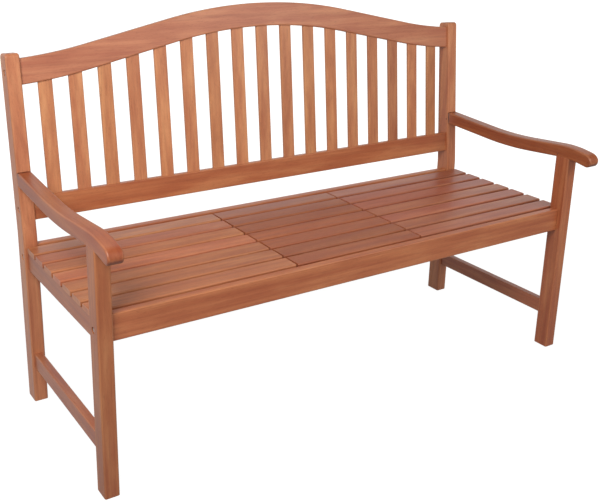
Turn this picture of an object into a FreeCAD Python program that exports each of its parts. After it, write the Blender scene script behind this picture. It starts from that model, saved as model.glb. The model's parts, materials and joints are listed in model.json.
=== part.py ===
import FreeCAD, Part
import math
import os

# A three-seat garden bench whose middle seat panel lifts on four swinging links and becomes a table.
# Millimetres. X runs along the bench, +Y to the back and +Z up. The pieces are worked out with Y = 0 on
# the front faces of the front legs, and the whole bench is then moved so that its origin lies on the
# floor under the middle of its outer box.

V = FreeCAD.Vector

# Whole bench
bench_width = 1500.0        # outer face to outer face of the legs
leg_spacing = 495.0         # front face of the front legs to front face of the back posts
seat_height = 451.0         # floor to the top of the seat slats

# Legs and back posts
leg_width = 37.0            # along X, legs and posts alike
front_leg_depth = 48.0
back_leg_depth = 52.0
leg_chamfer = 3.0
post_bend_rise = 25.0       # seat to where the post's front face starts to lean
post_bend_radius = 160.0
rake_angle = 5.8            # lean of the back, degrees
post_upper_length = 469.0   # from the bend to the top, along the front face
post_top_depth = 46.0
post_top_radius = 10.0

# Seat frame
seat_rail_height = 66.0
seat_rail_thickness = 22.0
front_rail_setback = 15.0   # behind the front faces of the front legs
rear_rail_setback = 7.0     # behind the front faces of the posts
side_rail_setback = 8.0     # behind the outer faces of the legs
rail_chamfer = 2.0
bearer_width = 36.0
bearer_height = 48.0
stretcher_height = 43.0
stretcher_thickness = 22.0
stretcher_bottom = 100.0

# Seat slats
seat_slat_width = 54.0
seat_slat_thickness = 15.0
seat_slat_gap = 11.0        # about: the slats are spread evenly
seat_slat_chamfer = 2.5
slat_leg_gap = 1.0          # first slat to the front legs
slat_post_gap = 6.0         # last slat to the posts
slat_overhang = 2.0         # past the side rails

# Lifting table
table_length = 400.0        # along X
seam_gap = 5.0              # table slats to fixed slats
batten_width = 24.0
batten_height = 40.0
batten_end_gap = 15.0       # to the front and rear rails
link_width = 28.0
link_thickness = 20.0
link_play = 0.5             # beside the link, to the bearer and to the batten
link_rail_gap = 6.0         # front link to front rail
link_slat_gap = 3.0         # links to the slats above them
link_end_gap = 4.0          # between the round ends of a front and a rear link
batten_tail = 19.0          # rear pivot to the rear end of the batten

# Back
back_rail_setback = 8.3     # behind the front faces of the posts
back_rail_thickness = 20.5
lower_rail_rise = 41.0      # above the bend, along the post
lower_rail_height = 61.0
crest_height = 66.0
crest_end_drop = 47.0       # top of the post to the middle of the crest's end
crest_hump_radius = 1375.0  # of the centre line
crest_flank_angle = 12.0
crest_end_angle = 4.0
crest_shoulder = 95.0       # from the post to where flank and end tangents meet
crest_chamfer = 3.0
back_slat_width = 37.3
back_slat_thickness = 10.0
back_slat_gap = 43.0        # about: the slats are spread evenly
back_slat_chamfer = 2.0
slat_housing = 12.0         # depth of slat ends in the rails

# Armrests: the centre line runs from the post over a dip and a hump to the nose, heights above the seat
arm_thickness = 37.0
arm_rear_rise = 177.0
arm_dip_y = 242.0
arm_dip_rise = 158.5
arm_dip_radius = 1150.0
arm_hump_y = 3.0
arm_hump_rise = 178.2
arm_hump_radius = 320.0
arm_nose_overhang = 76.0    # in front of the leg
arm_nose_rise = 164.3
arm_nose_radius = 17.0
arm_chamfer = 5.0
arm_housing = 3.0           # depth of the leg's top in the arm

# Joints of the frame
rail_tenon_length = 12.0
bearer_tenon_length = 8.0
arm_tenon_length = 16.0
tenon_shoulder = 6.0        # rail to tenon on every side
mortise_clearance = 0.2
screw_radius = 3.0
screw_bite = 48.0           # depth of a frame screw in the end of a rail
screw_clearance = 0.1
screw_head_flats = 10.0     # across the flats of the hexagon
screw_head_height = 4.0
sink_radius = 8.0           # counterbore round the head
sink_depth = 6.0
pin_radius = 4.0
pin_bite = 18.0             # depth of a pivot pin in its bearer or batten
pin_clearance = 0.05        # running fit of a link on its pin
open_pin_clearance = 0.3    # at the upper ends of the front links, where the linkage is left open

# Places that several pieces share
outer_x = bench_width / 2
inner_x = outer_x - leg_width
post_front = leg_spacing
post_bend_height = seat_height + post_bend_rise
post_height = post_bend_height + post_upper_length
rail_bottom = seat_height - seat_rail_height
slat_bottom = seat_height - seat_slat_thickness
front_rail_y = front_rail_setback + seat_rail_thickness / 2
rear_rail_y = post_front + rear_rail_setback + seat_rail_thickness / 2
rail_back = front_rail_y + seat_rail_thickness / 2
rear_rail_front = rear_rail_y - seat_rail_thickness / 2
side_rail_outer = outer_x - side_rail_setback
side_rail_inner = side_rail_outer - seat_rail_thickness
seam_x = (table_length + seam_gap) / 2
bearer_inner = seam_x - bearer_width / 2
link_outer = bearer_inner - link_play
link_inner = link_outer - link_thickness
batten_outer = link_inner - link_play
batten_inner = batten_outer - batten_width
back_front = post_front + back_rail_setback
back_middle = back_front + back_rail_thickness / 2
rake = math.radians(rake_angle)
sides = {"left": -1, "right": 1}

# Linkage: the links lie end to end between the front rail and the rear end of the batten
pivot_z = slat_bottom - link_slat_gap - link_width / 2
batten_ys = (rail_back + batten_end_gap, rear_rail_front - batten_end_gap)
front_pivot_y = rail_back + link_rail_gap + link_width / 2
link_length = (max(batten_ys) - batten_tail - front_pivot_y - link_width - link_end_gap) / 2
rear_pivot_y = front_pivot_y + link_length + link_width + link_end_gap
pivot_ys = (front_pivot_y, rear_pivot_y)


def block(xs, ys, zs, grow=0.0):
    """Upright block between two limits along each axis, in either order, made larger all round by grow."""
    low = [min(limits) - grow for limits in (xs, ys, zs)]
    high = [max(limits) + grow for limits in (xs, ys, zs)]
    return Part.makeBox(high[0] - low[0], high[1] - low[1], high[2] - low[2], V(*low))


def bar(xs, ys, zs, axis, chamfer):
    """Straight planed stock: a block whose edges along one axis (0, 1 or 2) are chamfered."""
    blank = block(xs, ys, zs)
    edges = [e for e in blank.Edges if abs(e.tangentAt(e.FirstParameter)[axis]) > 0.5]
    return blank.makeChamfer(chamfer, edges)


def rod(base, direction, radius, length):
    """Round pin or hole from base along direction."""
    return Part.makeCylinder(radius, length, base, direction)


def rounded_outline(corners):
    """Flat face inside a closed outline of (x, y, radius) corners, joined by straight lines."""
    points = [V(x, y, 0) for x, y, radius in corners]
    starts = []
    ends = []
    arcs = []
    for i, (x, y, radius) in enumerate(corners):
        point = points[i]
        back = (points[i - 1] - point).normalize()
        ahead = (points[(i + 1) % len(points)] - point).normalize()
        half = back.getAngle(ahead) / 2
        inward = (back + ahead).normalize()
        starts.append(point + back * (radius / math.tan(half)))
        ends.append(point + ahead * (radius / math.tan(half)))
        arcs.append(point + inward * (radius / math.sin(half) - radius))
    edges = []
    for i, (x, y, radius) in enumerate(corners):
        if radius > 0:
            edges.append(Part.Arc(starts[i], arcs[i], ends[i]).toShape())
        following = starts[(i + 1) % len(corners)]
        if (following - ends[i]).Length > 1e-6:
            edges.append(Part.makeLine(ends[i], following))
    return Part.Face(Part.Wire(edges))


def side_prism(outline, xs):
    """Outline drawn as (Y, Z), made solid between two limits of X."""
    face = outline.copy()
    face.rotate(V(0, 0, 0), V(1, 1, 1), 120)
    face.translate(V(min(xs), 0, 0))
    return face.extrude(V(max(xs) - min(xs), 0, 0))


def front_prism(outline, ys):
    """Outline drawn as (X, Z), made solid between two limits of Y."""
    face = outline.copy()
    face.rotate(V(0, 0, 0), V(1, 0, 0), 90)
    face.translate(V(0, min(ys), 0))
    return face.extrude(V(0, max(ys) - min(ys), 0))


def rim_edges(prism, axis):
    """Edges of a prism's two flat ends, which lie square to the given axis."""
    return [e for e in prism.Edges
            if max(v.Point[axis] for v in e.Vertexes) - min(v.Point[axis] for v in e.Vertexes) < 1e-6]


def band_corners(line, thickness):
    """Outline corners of a band of even thickness along a line of (x, y, radius) corners."""
    points = [V(x, y, 0) for x, y, radius in line]
    upper = []
    lower = []
    for i, (x, y, radius) in enumerate(line):
        before = points[i] - points[max(i - 1, 0)]
        after = points[min(i + 1, len(line) - 1)] - points[i]
        headings = [d.normalize() for d in (before, after) if d.Length > 0]
        normals = [V(-d.y, d.x, 0) for d in headings]
        normal = (normals[0] + normals[-1]).normalize()
        reach = normal * (thickness / 2 / normal.dot(normals[0]))
        turn = headings[0].cross(headings[-1]).z
        swing = math.copysign(thickness / 2, turn) if radius else 0.0
        upper.append((x + reach.x, y + reach.y, radius - swing))
        lower.append((x - reach.x, y - reach.y, radius + swing))
    return upper, lower


def underside(outline, along):
    """Height at which an upright line at the given place enters an outline from below."""
    line = Part.makeLine(V(along, 0, 0), V(along, 2 * post_height, 0))
    return min(v.Y for v in line.common(outline).Vertexes)


def lean(shape):
    """Tilts a piece of the back, drawn upright, to the rake of the posts."""
    leaned = shape.copy()
    leaned.rotate(V(0, post_front, post_bend_height), V(1, 0, 0), -rake_angle)
    return leaned


# Crest rail: a humped band, drawn upright. It is set out from its ends, which meet the posts
flank_slope = math.tan(math.radians(crest_flank_angle))
end_slope = math.tan(math.radians(crest_end_angle))
shoulder_x = inner_x - crest_shoulder
crest_end_z = post_height - crest_end_drop
shoulder_z = crest_end_z + crest_shoulder * end_slope
crest_apex = shoulder_z + shoulder_x * flank_slope
half_turn = math.radians(crest_flank_angle - crest_end_angle) / 2
shoulder_radius = crest_shoulder / math.tan(half_turn) - crest_height
crest_line = [
    (-inner_x, crest_end_z, 0.0),
    (-shoulder_x, shoulder_z, shoulder_radius),
    (0.0, crest_apex, crest_hump_radius),
    (shoulder_x, shoulder_z, shoulder_radius),
    (inner_x, crest_end_z, 0.0),
]
crest_upper, crest_lower = band_corners(crest_line, crest_height)
for corners in (crest_upper, crest_lower):
    corners[0] = (-inner_x,) + corners[0][1:]
    corners[-1] = (inner_x,) + corners[-1][1:]
crest_outline = rounded_outline(crest_upper + crest_lower[::-1])

# Lower back rail and back slats
lower_rail_bottom = post_bend_height + lower_rail_rise
lower_rail_top = lower_rail_bottom + lower_rail_height
back_slat_count = round((2 * inner_x - back_slat_gap) / (back_slat_width + back_slat_gap))
back_slat_pitch = (2 * inner_x + back_slat_width) / (back_slat_count + 1)
back_slat_xs = [(i - (back_slat_count - 1) / 2) * back_slat_pitch for i in range(back_slat_count)]

# Frame screws: Y and Z of each axis, and whether its rail belongs to the leaning back
screw_places = {
    "front_rail": (front_rail_y, seat_height - seat_rail_height / 2, False),
    "rear_rail": (rear_rail_y, seat_height - seat_rail_height / 2, False),
    "lower_back_rail": (back_middle, (lower_rail_bottom + lower_rail_top) / 2, True),
    "crest_rail": (back_middle, crest_end_z, True),
}


def at_screw(side, rail, shape):
    """Puts a piece drawn along +X from the outer face of a leg on the axis of one rail's screw."""
    y, z, leans = screw_places[rail]
    moved = shape.copy()
    moved.Placement = FreeCAD.Placement(V(side * outer_x, y, z), FreeCAD.Rotation(V(1, 0, 0), V(-side, 0, 0)))
    return lean(moved) if leans else moved


def screw_holes(side, *rails):
    """Counterbored holes for the screws of some rails, through the leg and into the rail."""
    along = V(1, 0, 0)
    hole = rod(V(0, 0, 0), along, screw_radius + screw_clearance, leg_width + screw_bite + screw_clearance)
    hole = hole.fuse(rod(V(0, 0, 0), along, sink_radius, sink_depth))
    return [at_screw(side, rail, hole) for rail in rails]


def frame_screw(side, rail):
    """Long screw into the end of a rail, with a hexagon head sunk in the outer face of the leg."""
    corner = screw_head_flats / math.sqrt(3)
    angles = [math.radians(60 * i) for i in range(7)]
    hexagon = Part.makePolygon([V(sink_depth, corner * math.cos(a), corner * math.sin(a)) for a in angles])
    head = Part.Face(hexagon).extrude(V(-screw_head_height, 0, 0))
    shank = rod(V(sink_depth, 0, 0), V(1, 0, 0), screw_radius, leg_width + screw_bite - sink_depth)
    return at_screw(side, rail, shank.fuse(head).removeSplitter())


def tongue(xs, ys, zs, length, grow=0.0):
    """Tenons at both ends of a rail along Y, as one block through it, set in by the shoulder all round."""
    return block((min(xs) + tenon_shoulder, max(xs) - tenon_shoulder),
                 (min(ys) - length, max(ys) + length),
                 (min(zs) + tenon_shoulder, max(zs) - tenon_shoulder), grow)


def tenoned_bar(limits, length):
    """Rail along Y with a tenon at each end."""
    return bar(*limits, 1, rail_chamfer).fuse(tongue(*limits, length)).removeSplitter()


def side_rail_limits(side):
    return ((side * side_rail_inner, side * side_rail_outer), (front_leg_depth, post_front),
            (rail_bottom, slat_bottom))


def stretcher_limits(side):
    middle = side * (outer_x + inner_x) / 2
    return ((middle - stretcher_thickness / 2, middle + stretcher_thickness / 2),
            (front_leg_depth, post_front), (stretcher_bottom, stretcher_bottom + stretcher_height))


def bearer_limits(side):
    return ((side * bearer_inner, side * (bearer_inner + bearer_width)), (rail_back, rear_rail_front),
            (slat_bottom - bearer_height, slat_bottom))


def side_mortises(side):
    """Mortises of one side's rail and stretcher, in the front leg and in the back post."""
    return [tongue(*limits, rail_tenon_length, mortise_clearance)
            for limits in (side_rail_limits(side), stretcher_limits(side))]


# Armrest outline, and the top of the front leg, which is let into its underside
arm_rear_height = seat_height + arm_rear_rise
arm_end_y = post_front + (arm_rear_height - post_bend_height) * math.tan(rake)
arm_slope = (arm_rear_rise - arm_dip_rise) / (arm_end_y - arm_dip_y)
arm_line = [
    (arm_end_y + arm_thickness, arm_rear_height + arm_slope * arm_thickness, 0.0),
    (arm_dip_y, seat_height + arm_dip_rise, arm_dip_radius),
    (arm_hump_y, seat_height + arm_hump_rise, arm_hump_radius),
    (-arm_nose_overhang, seat_height + arm_nose_rise, 0.0),
]
arm_upper, arm_lower = band_corners(arm_line, arm_thickness)
for corners in (arm_upper, arm_lower):
    corners[-1] = corners[-1][:2] + (arm_nose_radius,)
arm_outline = rounded_outline(arm_upper + arm_lower[::-1])
leg_middle_y = front_leg_depth / 2
leg_top = underside(arm_outline, leg_middle_y) + arm_housing
leg_tenon_ys = (leg_middle_y - front_leg_depth / 4, leg_middle_y + front_leg_depth / 4)
leg_tenon_zs = (leg_top, leg_top + arm_tenon_length)
arm_tenon_ys = (post_front - arm_tenon_length / 2, post_front + arm_tenon_length)
arm_tenon_middle = post_bend_height + (arm_rear_height - post_bend_height) / math.cos(rake)
arm_tenon_zs = (arm_tenon_middle - arm_thickness / 4, arm_tenon_middle + arm_thickness / 4)


def leg_xs(side):
    return (side * inner_x, side * outer_x)


def arm_tenon_xs(side):
    return (side * (inner_x + leg_width / 4), side * (outer_x - leg_width / 4))


def front_leg(side):
    """Square leg with a tenon for the armrest and mortises for the side rail and the stretcher."""
    leg = bar(leg_xs(side), (0, front_leg_depth), (0, leg_top), 2, leg_chamfer)
    leg = leg.fuse(block(arm_tenon_xs(side), leg_tenon_ys, leg_tenon_zs)).removeSplitter()
    return leg.cut(side_mortises(side) + screw_holes(side, "front_rail"))


def back_post(side):
    """Back leg and post in one: upright to the seat, then leaning and tapering to a rounded top."""
    top_y = post_front + post_upper_length * math.sin(rake)
    top_z = post_bend_height + post_upper_length * math.cos(rake)
    outline = rounded_outline([
        (post_front, 0, 0),
        (post_front, post_bend_height, post_bend_radius),
        (top_y, top_z, post_top_radius),
        (top_y + post_top_depth * math.cos(rake), top_z - post_top_depth * math.sin(rake), post_top_radius),
        (post_front + back_leg_depth, post_bend_height, post_bend_radius),
        (post_front + back_leg_depth, 0, 0),
    ])
    post = side_prism(outline, leg_xs(side))
    edges = [e for e in rim_edges(post, 0) if max(v.Z for v in e.Vertexes) > 0]
    post = post.makeChamfer(leg_chamfer, edges)
    arm_mortise = lean(block(arm_tenon_xs(side), arm_tenon_ys, arm_tenon_zs, mortise_clearance))
    holes = screw_holes(side, "rear_rail", "lower_back_rail", "crest_rail")
    return post.cut(side_mortises(side) + [arm_mortise] + holes)


def armrest(side):
    """Curved arm of even thickness with a rounded nose, let over the leg and tenoned into the post."""
    arm = side_prism(arm_outline, leg_xs(side))
    arm = arm.makeChamfer(arm_chamfer, [e for e in rim_edges(arm, 0)
                                        if min(v.Y for v in e.Vertexes) < arm_end_y])
    behind_post_face = lean(block((-bench_width, bench_width), (post_front, 2 * leg_spacing),
                                  (0, 2 * post_height)))
    tenon = lean(block(arm_tenon_xs(side), arm_tenon_ys, arm_tenon_zs))
    arm = arm.cut(behind_post_face).fuse(tenon).removeSplitter()
    housing = block(leg_xs(side), (0, front_leg_depth), (0, leg_top))
    socket = block(arm_tenon_xs(side), leg_tenon_ys, leg_tenon_zs, mortise_clearance)
    return arm.cut([housing, socket])


def end_rail(rail, y):
    """Front or rear seat rail between the legs, mortised for the bearers."""
    ys = (y - seat_rail_thickness / 2, y + seat_rail_thickness / 2)
    blank = bar((-inner_x, inner_x), ys, (rail_bottom, seat_height), 0, rail_chamfer)
    cuts = []
    for side in sides.values():
        cuts += screw_holes(side, rail)
        cuts.append(tongue(*bearer_limits(side), bearer_tenon_length, mortise_clearance))
    return blank.cut(cuts)


def back_slat_limits(x):
    """Limits of one back slat: its ends are housed in the lower rail and in the crest's underside."""
    return ((x - back_slat_width / 2, x + back_slat_width / 2),
            (back_middle - back_slat_thickness / 2, back_middle + back_slat_thickness / 2),
            (lower_rail_top - slat_housing, underside(crest_outline, x) + slat_housing))


def back_slat(x):
    return lean(bar(*back_slat_limits(x), 2, back_slat_chamfer))


def slat_mortise(x):
    """Space for the ends of one back slat, with clearance beside it and none at its ends."""
    xs, ys, zs = back_slat_limits(x)
    room = block(xs, ys, zs, mortise_clearance)
    return room.common(block((-bench_width, bench_width), (0, 2 * leg_spacing), zs))


def back_rail(rail, blank):
    """Rail of the back: mortised for the slats, leaned and bored for its two screws."""
    mortised = blank.cut([slat_mortise(x) for x in back_slat_xs])
    return lean(mortised).cut([hole for side in sides.values() for hole in screw_holes(side, rail)])


def crest_rail():
    """Top rail sawn to a hump between two hollow shoulders."""
    blank = front_prism(crest_outline, (back_front, back_front + back_rail_thickness))
    edges = [e for e in rim_edges(blank, 1)
             if max(v.X for v in e.Vertexes) - min(v.X for v in e.Vertexes) > 1e-6]
    return back_rail("crest_rail", blank.makeChamfer(crest_chamfer, edges))


def lower_back_rail():
    blank = bar((-inner_x, inner_x), (back_front, back_front + back_rail_thickness),
                (lower_rail_bottom, lower_rail_top), 0, rail_chamfer)
    return back_rail("lower_back_rail", blank)


# Seat slats, from the front to the back
seat_span = leg_spacing - front_leg_depth - slat_leg_gap - slat_post_gap
seat_slat_count = round((seat_span + seat_slat_gap) / (seat_slat_width + seat_slat_gap))
seat_slat_pitch = (seat_span - seat_slat_width) / (seat_slat_count - 1)
seat_slat_fronts = [front_leg_depth + slat_leg_gap + i * seat_slat_pitch for i in range(seat_slat_count)]
slat_end = side_rail_outer + slat_overhang


def seat_slat(xs, front):
    return bar(xs, (front, front + seat_slat_width), (slat_bottom, seat_height), 0, seat_slat_chamfer)


# Lifting table: two battens under its slats, each carried by two links from a bearer
def lower_pin(side, y, grow=0.0):
    """Pivot pin from the inner face of a link through it and into the bearer."""
    return rod(V(side * link_inner, y, pivot_z), V(side, 0, 0), pin_radius + grow,
               link_thickness + link_play + pin_bite + grow)


def upper_pin(side, y, grow=0.0):
    """Pivot pin from the outer face of a link through it and into the batten."""
    return rod(V(side * link_outer, y + link_length, pivot_z), V(-side, 0, 0), pin_radius + grow,
               link_thickness + link_play + pin_bite + grow)


def bearer(side):
    """Seat bearer under a seam, bored for the lower pins of its two links."""
    blank = tenoned_bar(bearer_limits(side), bearer_tenon_length)
    return blank.cut([lower_pin(side, y, pin_clearance) for y in pivot_ys])


def batten(side):
    """Table batten along Y, bored for the upper pins of its two links."""
    blank = bar((side * batten_inner, side * batten_outer), batten_ys,
                (slat_bottom - batten_height, slat_bottom), 1, rail_chamfer)
    return blank.cut([upper_pin(side, y, pin_clearance) for y in pivot_ys])


def link(side, y, upper_clearance):
    """Swinging link with round ends, bored for its two pins."""
    half = link_width / 2
    outline = rounded_outline([
        (y - half, pivot_z - half, half),
        (y + link_length + half, pivot_z - half, half),
        (y + link_length + half, pivot_z + half, half),
        (y - half, pivot_z + half, half),
    ])
    blank = side_prism(outline, (side * link_inner, side * link_outer))
    return blank.cut([lower_pin(side, y, pin_clearance), upper_pin(side, y, upper_clearance)])


parts = {}
for name, side in sides.items():
    parts[f"front_leg_{name}"] = front_leg(side)
    parts[f"back_post_{name}"] = back_post(side)
    parts[f"armrest_{name}"] = armrest(side)
    parts[f"side_rail_{name}"] = tenoned_bar(side_rail_limits(side), rail_tenon_length)
    parts[f"stretcher_{name}"] = tenoned_bar(stretcher_limits(side), rail_tenon_length)
    parts[f"seat_bearer_{name}"] = bearer(side)
    parts[f"table_batten_{name}"] = batten(side)
    parts[f"front_link_{name}"] = link(side, front_pivot_y, open_pin_clearance)
    parts[f"rear_link_{name}"] = link(side, rear_pivot_y, pin_clearance)
    for i, front in enumerate(seat_slat_fronts, 1):
        parts[f"seat_slat_{name}_{i}"] = seat_slat((side * (seam_x + seam_gap / 2), side * slat_end), front)

parts["front_rail"] = end_rail("front_rail", front_rail_y)
parts["rear_rail"] = end_rail("rear_rail", rear_rail_y)
parts["lower_back_rail"] = lower_back_rail()
parts["crest_rail"] = crest_rail()
for i in range(back_slat_count // 2):
    pair = [back_slat(back_slat_xs[i]), back_slat(back_slat_xs[-1 - i])]
    parts[f"back_slats_pair_{i + 1}"] = Part.makeCompound(pair)
if back_slat_count % 2:
    parts["back_slat_centre"] = back_slat(0.0)
for i, front in enumerate(seat_slat_fronts, 1):
    parts[f"table_slat_{i}"] = seat_slat((-table_length / 2, table_length / 2), front)

parts["frame_screws"] = Part.makeCompound(
    [frame_screw(side, rail) for side in sides.values() for rail in screw_places])
parts["link_pins_lower"] = Part.makeCompound([lower_pin(side, y) for side in sides.values() for y in pivot_ys])
parts["link_pins_upper"] = Part.makeCompound([upper_pin(side, y) for side in sides.values() for y in pivot_ys])

# The origin: on the floor under the middle of the bench's outer box
nose_y = parts["armrest_left"].optimalBoundingBox().YMin
back_y = max(parts[name].optimalBoundingBox().YMax for name in ("back_post_left", "crest_rail"))
shift = V(0, -(nose_y + back_y) / 2, 0)

os.makedirs("parts", exist_ok=True)
for name, shape in parts.items():
    shape.translate(shift)
    shape.exportStep(f"parts/{name}.step")

print("nodes", len(parts), "shift", round(shift.y, 4), "depth", round(back_y - nose_y, 3))
print("lower pivots y", [round(y + shift.y, 4) for y in pivot_ys], "z", pivot_z, "link", round(link_length, 4))
print("slats", seat_slat_count, back_slat_count, "leg top", round(leg_top, 2))
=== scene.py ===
# %% [markdown]
# # A garden bench whose middle seat lifts into a table
#
# The real bench is made of oiled hardwood boards: straight legs, bent posts, curved arms, a humped crest
# rail and rows of slats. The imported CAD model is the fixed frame. It says where each piece is, which body it
# moves with and how large it is. This lesson dresses that frame: each board in sight is made again with
# softly rounded edges, is given its own place in a log, and takes an oiled finish that is drawn inside that
# log. The screws and pins, and the links, bearers and battens under the seat, keep their CAD meshes and get
# finishes of their own.

# %% Load the frame
import json
import bpy
import numpy as np
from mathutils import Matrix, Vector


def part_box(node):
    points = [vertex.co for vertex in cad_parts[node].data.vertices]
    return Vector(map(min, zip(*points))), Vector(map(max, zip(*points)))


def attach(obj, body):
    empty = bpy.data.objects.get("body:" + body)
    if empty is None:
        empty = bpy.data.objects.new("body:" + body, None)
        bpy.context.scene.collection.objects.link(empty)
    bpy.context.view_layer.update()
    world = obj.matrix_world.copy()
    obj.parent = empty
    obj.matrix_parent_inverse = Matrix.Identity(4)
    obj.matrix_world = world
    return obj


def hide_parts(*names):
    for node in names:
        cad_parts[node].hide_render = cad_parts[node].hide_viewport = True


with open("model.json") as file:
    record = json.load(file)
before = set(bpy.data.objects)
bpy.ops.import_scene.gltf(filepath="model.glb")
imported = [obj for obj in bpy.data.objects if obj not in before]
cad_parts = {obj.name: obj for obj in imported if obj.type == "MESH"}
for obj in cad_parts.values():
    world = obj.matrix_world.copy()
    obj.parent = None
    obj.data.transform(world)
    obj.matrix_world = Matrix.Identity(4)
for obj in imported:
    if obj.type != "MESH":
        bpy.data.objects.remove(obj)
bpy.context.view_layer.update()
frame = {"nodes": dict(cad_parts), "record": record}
bodies = frame["record"]["behaviour"]["bodies"]
body_of = {node: body for body, nodes in bodies.items() for node in nodes}

# %% [markdown]
# ## Places that several boards share
#
# Most places are read from the frame's own boxes. What a box can't tell, such as the lean of the back or the
# depth of a tenon that hides in its mortise, is a named value in metres.

# %% Shared places
mm = 0.001
sides = {"left": -1, "right": 1}
rake = np.radians(5.8)          # lean of the back
bend_rise = 25 * mm             # seat to where the posts bend
rail_tenon = 12 * mm            # hidden ends of side rails and stretchers
arm_tenon = 16 * mm             # hidden top of a front leg


def box(node):
    """Lowest and highest corner of a CAD node as two arrays."""
    return tuple(np.array(corner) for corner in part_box(node))


seat_top = box("seat_slat_left_1")[1][2]
leg_front = box("front_leg_left")[0][1]
post_front = box("back_post_left")[0][1]
bend_height = seat_top + bend_rise
print("seat", round(seat_top, 4), "leg front", round(leg_front, 4), "post front", round(post_front, 4))

# %% [markdown]
# ## From a section to a board
#
# A planed board is a rectangle with rounded corners, carried along a line. Blender could make it from a cube
# and a Bevel modifier, but then bent, tapered and humped boards would each need another way. Here one
# function carries a rounded rectangle along any row of stations, and a board is only a choice of stations.
# Everything is worked out as whole arrays, with one row for each station and one column round the section.

# %% Section
arc_points = 6                  # points on each rounded corner of a section


def section(half_across, half_through, corner):
    """Rounded rectangle at each station: the centre of each corner plus its radius times the unit circle.

    Also gives the mark of a rounded edge, which is 1 in the middle of a rounded corner and 0 where the flat
    face starts: the edge is rubbed paler there, and a highlight is painted along it.
    """
    quarter = np.arange(4).repeat(arc_points)
    step = np.tile(np.linspace(0, 1, arc_points), 4)
    angle = (quarter + step) * np.pi / 2
    sign_across = np.where((quarter == 0) | (quarter == 3), 1, -1)
    sign_through = np.where(quarter < 2, 1, -1)
    u = (half_across - corner)[:, None] * sign_across + corner[:, None] * np.cos(angle)
    v = (half_through - corner)[:, None] * sign_through + corner[:, None] * np.sin(angle)
    return u, v, np.sin(step * np.pi)


def carried(centre, across, through, half_across, half_through, corner):
    """Points of a board: centre + u * across + v * through for the section (u, v) at every station."""
    count = len(centre)
    sizes = [np.broadcast_to(size, (count,)) for size in (half_across, half_through, corner)]
    u, v, wear_and_highlight = section(*sizes)
    across = np.broadcast_to(across, (count, 3))[:, None]
    through = np.broadcast_to(through, (count, 3))[:, None]
    points = centre[:, None] + u[..., None] * across + v[..., None] * through
    return points, np.broadcast_to(wear_and_highlight, u.shape)


print("section of", 4 * arc_points, "points")

# %% [markdown]
# ## Closed tubes and straight boards
#
# Neighbouring sections are joined by quads, and one flat face closes each end. A straight board needs only
# the few stations at its two ends, where its edges are eased: there the section is drawn in a little, so
# that the end has a small rounding all the way round.

# %% Tubes and straight boards
ease_steps = 4                  # stations on each eased end


def tube_faces(stations, ring, start=0):
    """Quads between neighbouring rows of a grid that closes round the ring, and a flat face on each end."""
    row, column = np.meshgrid(np.arange(stations - 1), np.arange(ring), indexing="ij")
    beside = (column + 1) % ring
    quads = np.stack([row * ring + column, row * ring + beside,
                      (row + 1) * ring + beside, (row + 1) * ring + column], -1)
    ends = np.stack([np.arange(ring)[::-1], (stations - 1) * ring + np.arange(ring)])
    return (quads.reshape(-1, 4) + start).tolist() + (ends + start).tolist()


def eased(length, ease):
    """Stations of a straight board, and how far each section is drawn in.

    The ends turn in on quarter circles: at angle t, ease (1 - cos t) along the board and ease (1 - sin t) in.
    """
    turn = np.linspace(0, np.pi / 2, ease_steps)
    depth = ease * (1 - np.cos(turn))
    inset = ease * (1 - np.sin(turn))
    return np.concatenate([depth, length - depth[::-1]]), np.concatenate([inset, inset[::-1]])


def straight(low, high, axis, corner, ease):
    """Straight board that fills a box, with its grain along one axis."""
    across, through = (axis + 1) % 3, (axis + 2) % 3
    along, inset = eased(high[axis] - low[axis], ease)
    centre = np.tile((low + high) / 2, (len(along), 1))
    centre[:, axis] = low[axis] + along
    half = (high - low) / 2
    return carried(centre, np.eye(3)[across], np.eye(3)[through],
                   half[across] - inset, half[through] - inset, corner - inset)


print("a straight board has", 2 * ease_steps, "stations")

# %% [markdown]
# ## Boards as objects
#
# A board is one mesh with its points in place, so its object stays at the origin. The mesh stores a few
# values at each point for the finish to read: one marks the rounded edges, which are rubbed paler and get a
# painted highlight, and end marks the sawn ends and, under the arm noses, painted shade. Vertex groups could
# hold such values too, but an attribute takes a whole array at once.

# %% Boards as objects
open_grain = 0.5                # share of open end grain on a sawn end


def put(mesh, name, values, kind="FLOAT"):
    """Stores one value for each point of a mesh under a name."""
    mesh.attributes.new(name, kind, "POINT")
    field = "vector" if kind == "FLOAT_VECTOR" else "value"
    mesh.attributes[name].data.foreach_set(field, np.ascontiguousarray(values, np.float32).ravel())


def wooden(name, grids, body, sawn=None):
    """Makes one object of one or more carried grids.

    Sawn is the share of open end grain at each point; on the arm noses it also holds painted shade. If it
    isn't given, only the two ends have some.
    """
    shapes = [points.shape[:2] for points, wear_and_highlight in grids]
    starts = np.cumsum([0] + [stations * ring for stations, ring in shapes])
    faces = [face for (stations, ring), start in zip(shapes, starts)
             for face in tube_faces(stations, ring, start)]
    mesh = bpy.data.meshes.new(name)
    mesh.from_pydata(np.concatenate([points.reshape(-1, 3) for points, wear_and_highlight in grids]).tolist(), [], faces)
    mesh.shade_smooth()
    put(mesh, "wear_and_highlight", np.concatenate([wear_and_highlight.ravel() for points, wear_and_highlight in grids]))
    ends = [np.isin(np.arange(stations), (0, stations - 1)).repeat(ring) for stations, ring in shapes]
    put(mesh, "end", open_grain * np.concatenate(ends) if sawn is None else sawn)
    piece = bpy.data.objects.new(name, mesh)
    bpy.context.scene.collection.objects.link(piece)
    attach(piece, body)
    return piece


def board(name, grids, nodes, sawn=None):
    """Makes a wooden piece in place of CAD nodes, on the body that they move with."""
    piece = wooden(name, grids, body_of[nodes[0]], sawn)
    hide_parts(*nodes)
    return piece


print("open grain on sawn ends", open_grain)

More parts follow.
